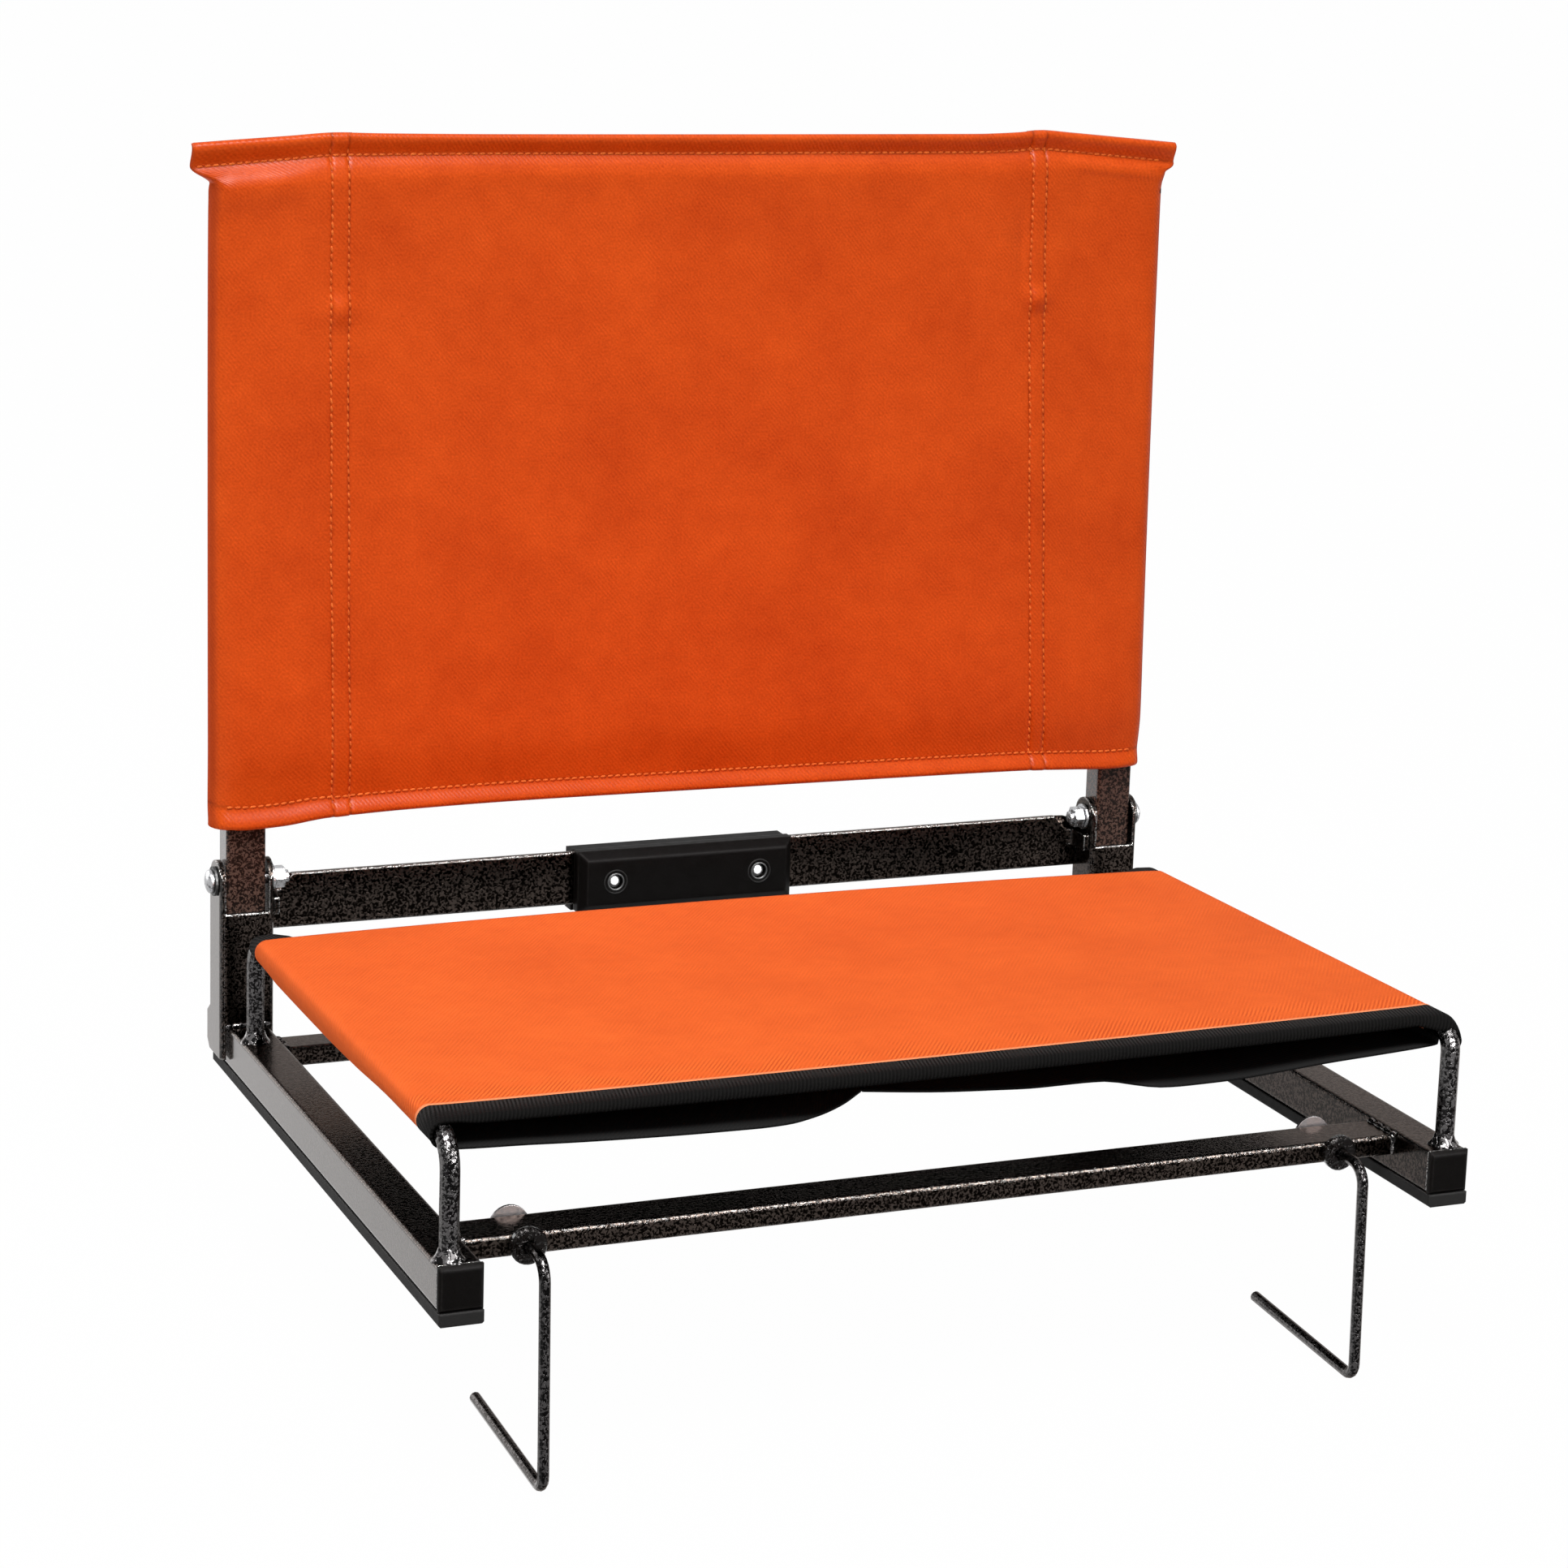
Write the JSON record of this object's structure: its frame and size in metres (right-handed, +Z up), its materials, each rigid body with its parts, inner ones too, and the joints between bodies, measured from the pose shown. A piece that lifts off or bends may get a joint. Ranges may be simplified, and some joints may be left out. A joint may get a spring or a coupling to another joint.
{
  "type": "folding bleacher seat",
  "caption": "Folding stadium seat: tube base with rubber runners, canvas seat on bent rods, fold-down canvas back, carry grip and swivelling hooks that catch under a bench.",
  "frame": {"origin": "on the bench top, midway between the runners and halfway along them", "axes": "+Z up from the bench, -Y towards the front of the seat, +X to the right of someone who faces the seat"},
  "size_m": [0.502, 0.3616, 0.5267],
  "materials": {
    "vein_powder_coat": "brown-black vein powder coat with a fine pale speckle",
    "black_plastic": "satin moulded plastic",
    "runner_rubber": "matt rubber",
    "bright_zinc": "bright zinc plate",
    "blackened_steel": "blackened steel",
    "orange_canvas": "orange twill canvas with tonal stitching",
    "black_twill": "black twill tape and cloth"
  },
  "bodies": {
    "base": {"carry_bar": "vein_powder_coat", "front_cross_tube": "vein_powder_coat", "grip_front_half": "black_plastic", "grip_rear_half": "black_plastic", "left_front_end_cap": "black_plastic", "left_grip_nut": "bright_zinc", "left_grip_screw": "bright_zinc", "left_hinge_bracket": "vein_powder_coat", "left_inner_washer": "bright_zinc", "left_lock_nut": "bright_zinc", "left_outer_washer": "blackened_steel", "left_pivot_bolt": "bright_zinc", "left_rear_end_cap": "black_plastic", "left_runner": "runner_rubber", "left_seat_rod": "vein_powder_coat", "left_seat_underside": "black_twill", "left_side_rail": "vein_powder_coat", "rear_cross_tube": "vein_powder_coat", "right_front_end_cap": "black_plastic", "right_grip_nut": "bright_zinc", "right_grip_screw": "bright_zinc", "right_hinge_bracket": "vein_powder_coat", "right_inner_washer": "bright_zinc", "right_lock_nut": "bright_zinc", "right_outer_washer": "blackened_steel", "right_pivot_bolt": "bright_zinc", "right_rear_end_cap": "black_plastic", "right_runner": "runner_rubber", "right_seat_rod": "vein_powder_coat", "right_seat_underside": "black_twill", "right_side_rail": "vein_powder_coat", "seat_front_binding": "black_twill", "seat_panel": "orange_canvas", "seat_rear_binding": "black_twill"},
    "back": {"left_upright": "vein_powder_coat", "right_upright": "vein_powder_coat", "left_upright_plug": "black_plastic", "right_upright_plug": "black_plastic", "back_panel": "orange_canvas"},
    "left_hook": {"left_bench_hook": "vein_powder_coat", "left_hook_collar": "black_plastic", "left_hook_retainer": "bright_zinc"},
    "right_hook": {"right_bench_hook": "vein_powder_coat", "right_hook_collar": "black_plastic", "right_hook_retainer": "bright_zinc"}
  },
  "joints": [
    {"name": "back_fold", "type": "hinge", "parent": "base", "child": "back", "pos_m": [0, 0.161, 0.0942], "axis": [1, 0, 0], "range_deg": [0, 90]},
    {"name": "left_hook_swivel", "type": "hinge", "parent": "base", "child": "left_hook", "pos_m": [-0.1901, -0.13575, 0.01845], "axis": [0, 1, 0], "range_deg": [-84, 50]},
    {"name": "right_hook_swivel", "type": "hinge", "parent": "base", "child": "right_hook", "pos_m": [0.1901, -0.13575, 0.01845], "axis": [0, 1, 0], "range_deg": [-50, 84]}
  ]
}
